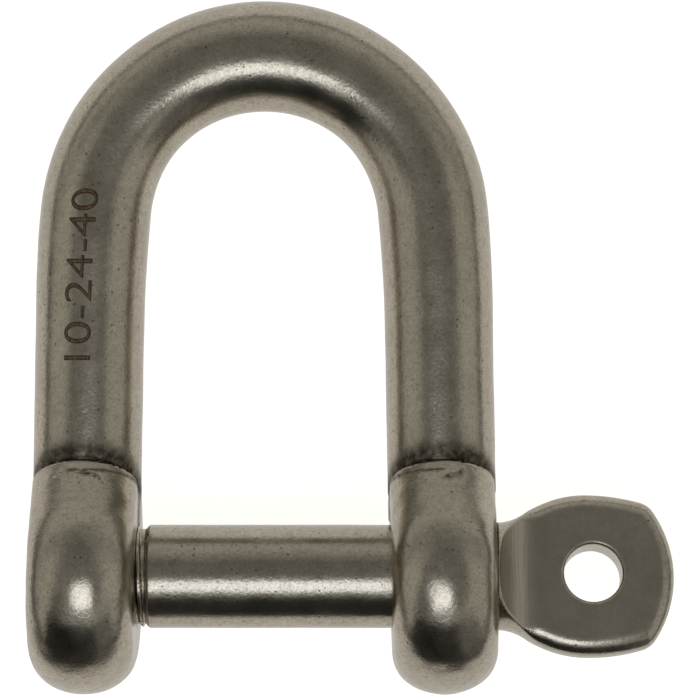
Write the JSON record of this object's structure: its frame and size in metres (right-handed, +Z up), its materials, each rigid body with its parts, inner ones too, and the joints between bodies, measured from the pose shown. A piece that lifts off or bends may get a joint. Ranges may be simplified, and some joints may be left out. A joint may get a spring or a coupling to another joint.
{
  "type": "screw pin shackle",
  "caption": "Forged U-shaped steel link closed by a removable screw pin with a flat eye tab, for joining rope, chain, sails and rigging fittings.",
  "frame": {"origin": "on the screw pin's axis, halfway between the ears", "axes": "+X along the pin towards its eye tab, +Y towards the crown of the bow, +Z up with the shackle lying flat on its ears and crown"},
  "size_m": [0.0622, 0.0667, 0.0228],
  "materials": {
    "forged_steel": "tumbled satin stainless steel",
    "pin_steel": "tumbled satin stainless steel, ground on the tab"
  },
  "bodies": {
    "shackle": {"shackle_body": "forged_steel"},
    "collar": {"pin_collar": "pin_steel"},
    "pin": {"screw_pin": "pin_steel"}
  },
  "joints": [
    {"name": "pin_travel", "type": "slide", "parent": "shackle", "child": "collar", "axis": [1, 0, 0], "range_m": [-0.0008, 0.046]},
    {"name": "pin_turn", "type": "hinge", "parent": "collar", "child": "pin", "pos_m": [0, 0, 0], "axis": [1, 0, 0], "range_deg": [-192.5, 11041.5]}
  ],
  "couplings": [
    {"joint": "pin_turn", "follows": "pin_travel", "rad_per_m": 4188.8}
  ]
}
